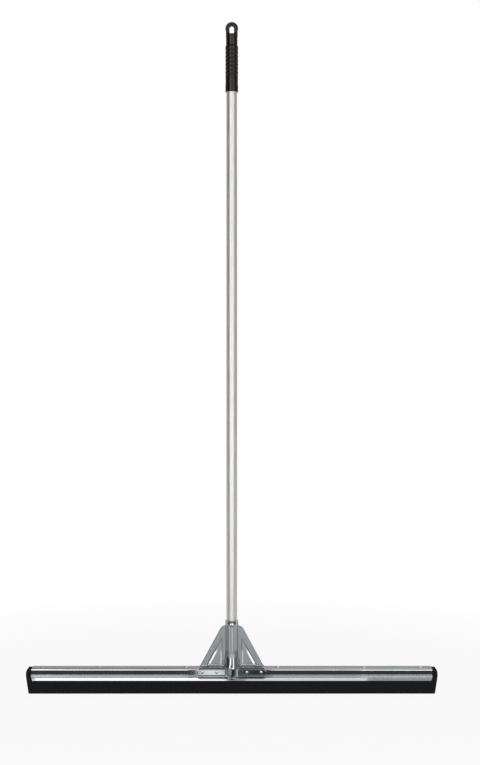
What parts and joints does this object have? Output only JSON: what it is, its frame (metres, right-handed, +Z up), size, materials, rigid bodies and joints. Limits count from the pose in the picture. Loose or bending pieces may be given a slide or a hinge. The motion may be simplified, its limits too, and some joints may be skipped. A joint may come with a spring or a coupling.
{
  "type": "floor squeegee",
  "caption": "Wide floor squeegee: twin sponge rubber blades in a folded steel channel, pressed steel bracket, aluminium handle and black grip with a hanging eye.",
  "frame": {"origin": "middle of the blades' floor face, under the handle's axis", "axes": "+Z up along the handle, X along the blades, -Y towards the front with the clamp screw"},
  "size_m": [0.9, 0.049, 1.4703],
  "materials": {
    "zinc_steel": "bright zinc plate",
    "sponge_rubber": "matt closed-cell sponge",
    "aluminium": "satin extruded",
    "grip_plastic": "soft sheen moulding"
  },
  "bodies": {
    "head": {"frame_channel": "zinc_steel", "core_rail": "zinc_steel", "front_blade": "sponge_rubber", "rear_blade": "sponge_rubber", "frame_rivet_1": "zinc_steel", "frame_rivet_2": "zinc_steel", "frame_rivet_3": "zinc_steel", "frame_rivet_4": "zinc_steel", "frame_rivet_5": "zinc_steel", "frame_rivet_6": "zinc_steel", "front_bracket": "zinc_steel", "rear_bracket": "zinc_steel", "front_bracket_rivet_1": "zinc_steel", "front_bracket_rivet_2": "zinc_steel", "front_bracket_rivet_3": "zinc_steel", "front_bracket_rivet_4": "zinc_steel", "rear_bracket_rivet_1": "zinc_steel", "rear_bracket_rivet_2": "zinc_steel", "rear_bracket_rivet_3": "zinc_steel", "rear_bracket_rivet_4": "zinc_steel"},
    "handle": {"handle_tube": "aluminium", "handle_grip": "grip_plastic"},
    "screw": {"clamp_screw": "zinc_steel"}
  },
  "joints": [
    {"name": "handle_pull", "type": "slide", "parent": "head", "child": "handle", "axis": [0, 0, 1], "range_m": [0, 0.108]},
    {"name": "clamp_screw_turn", "type": "hinge", "parent": "head", "child": "screw", "pos_m": [0, -0.014, 0.1495], "axis": [0, -1, 0], "range_deg": [0, 270]}
  ]
}
